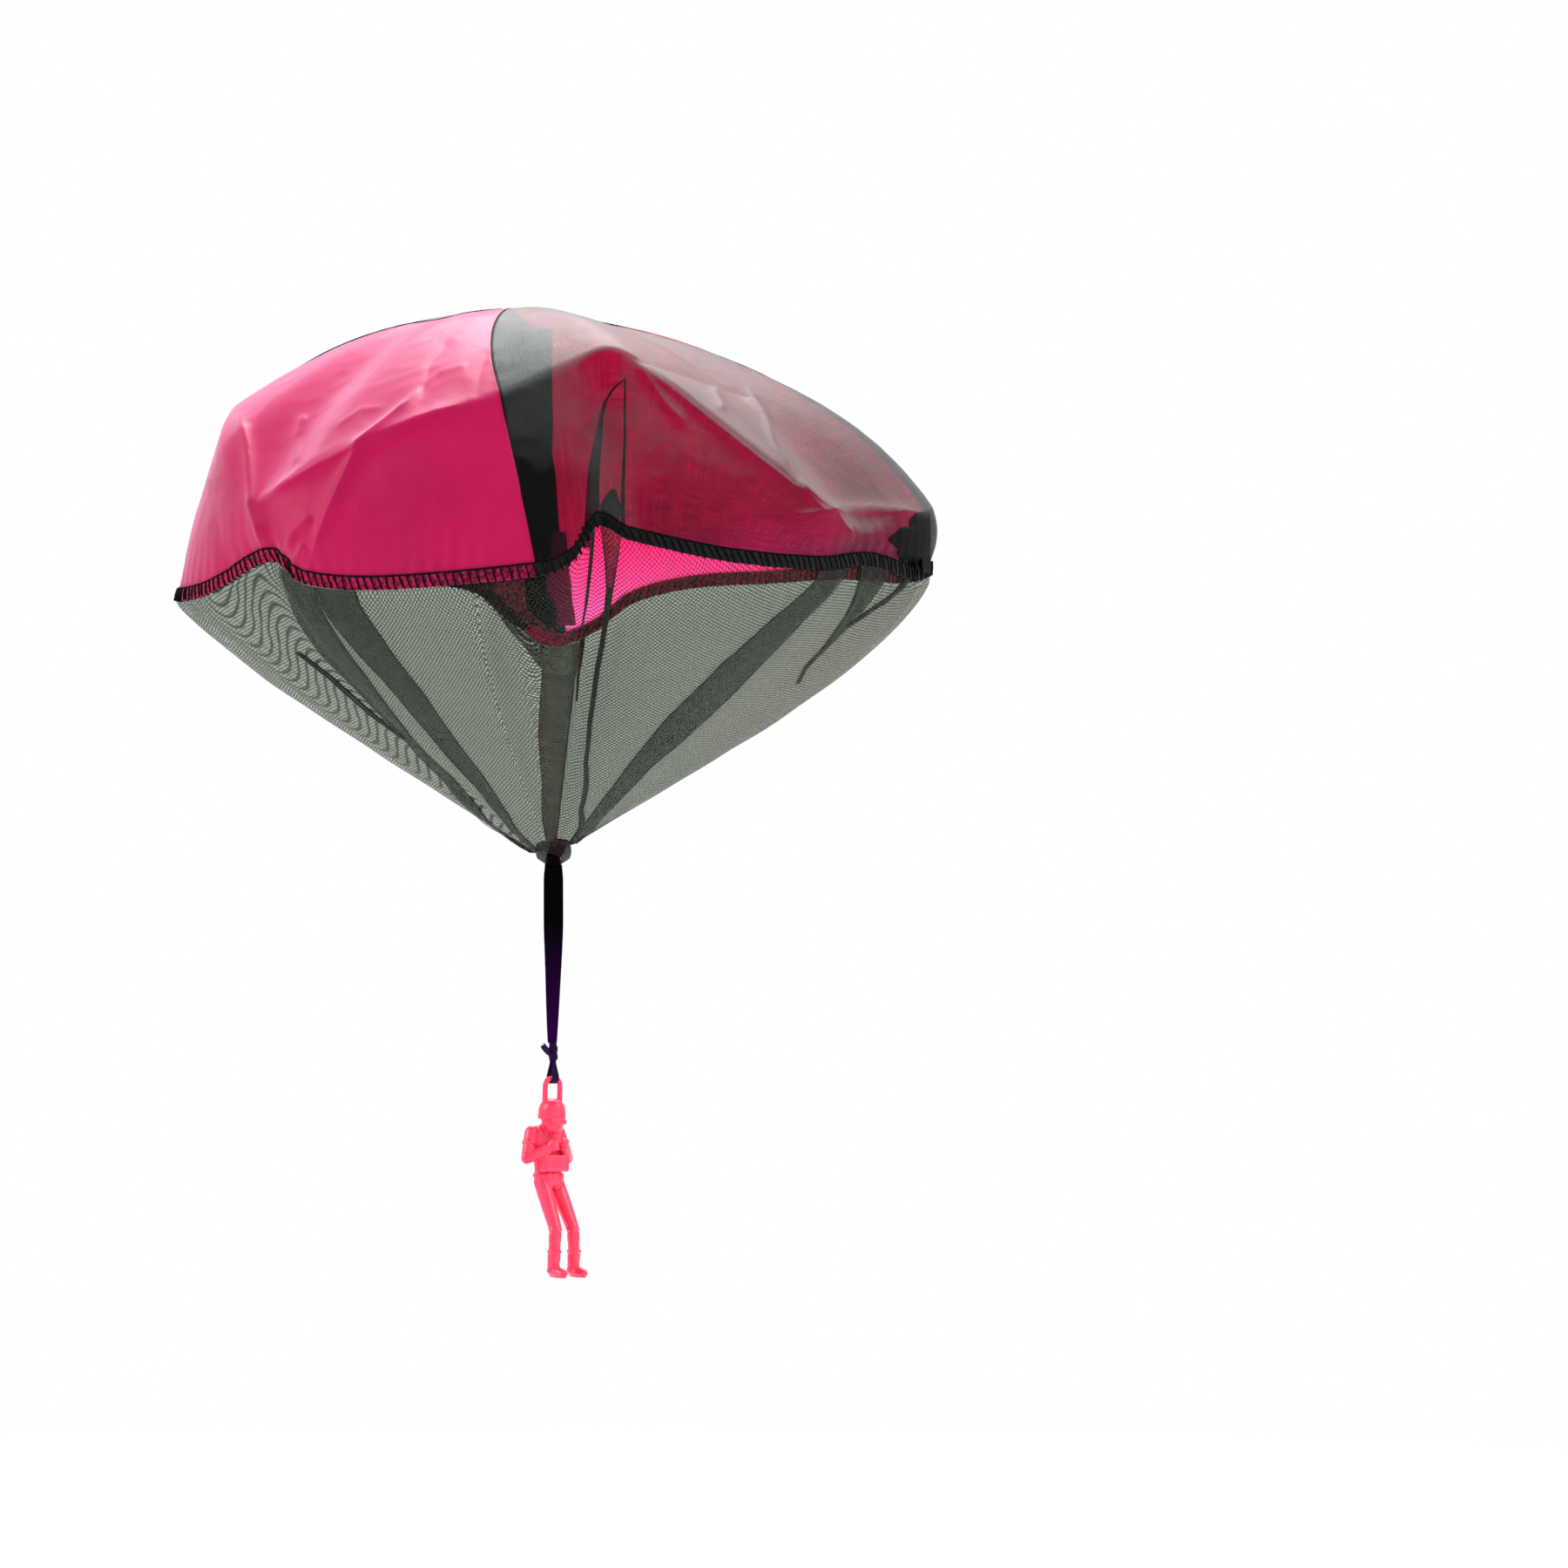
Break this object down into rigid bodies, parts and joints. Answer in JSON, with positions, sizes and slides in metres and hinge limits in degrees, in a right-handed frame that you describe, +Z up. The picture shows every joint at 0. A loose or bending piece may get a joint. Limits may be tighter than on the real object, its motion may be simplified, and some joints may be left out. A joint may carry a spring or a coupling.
{
  "type": "toy parachute",
  "caption": "hand-thrown toy parachute: patchwork cloth canopy, net skirt gathered to a knotted ribbon, moulded skydiver hanging by a ring",
  "frame": {"origin": "on the hang line, on top of the canopy", "axes": "+Z up along the ribbon, -Y the near side of the picture, +X its right"},
  "size_m": [0.3855, 0.3423, 0.4895],
  "materials": {
    "bright_nylon": "hot pink nylon taffeta with a soft sheen",
    "black_nylon": "thin black nylon, sheer against the light",
    "hem_thread": "black overlock thread",
    "net": "fine black nylon net",
    "ribbon": "black satin ribbon",
    "moulded_plastic": "coral pink moulded polythene"
  },
  "bodies": {
    "canopy": {"panel_near_left": "bright_nylon", "panel_near_right": "black_nylon", "panel_far_left": "black_nylon", "panel_far_right": "bright_nylon", "hem_near_left": "hem_thread", "hem_near_right": "hem_thread", "hem_far_left": "hem_thread", "hem_far_right": "hem_thread", "net_near_left": "net", "net_near_right": "net", "net_far_left": "net", "net_far_right": "net", "ribbon_tab": "ribbon"},
    "gather": {"net_gather": "net"},
    "ribbon": {"ribbon_strap": "ribbon"},
    "knot": {"ribbon_knot": "ribbon", "ribbon_tail": "ribbon", "ribbon_eye": "ribbon"},
    "skydiver": {"skydiver": "moulded_plastic"}
  },
  "joints": [
    {"name": "gather_sway", "type": "hinge", "parent": "canopy", "child": "gather", "pos_m": [0, 0, -0.274], "axis": [0, 1, 0], "range_deg": [-40, 40]},
    {"name": "ribbon_swing", "type": "hinge", "parent": "gather", "child": "ribbon", "pos_m": [0, 0, -0.2824], "axis": [1, 0, 0], "range_deg": [-40, 40]},
    {"name": "ribbon_twist", "type": "hinge", "parent": "ribbon", "child": "knot", "pos_m": [0, 0, -0.3712], "axis": [0, 0, 1], "range_deg": [-90, 90], "stiffness_Nm_per_rad": 0.00002},
    {"name": "skydiver_swing", "type": "hinge", "parent": "knot", "child": "skydiver", "pos_m": [0, 0, -0.3888], "axis": [0.766, 0.6428, 0], "range_deg": [-60, 60]}
  ]
}
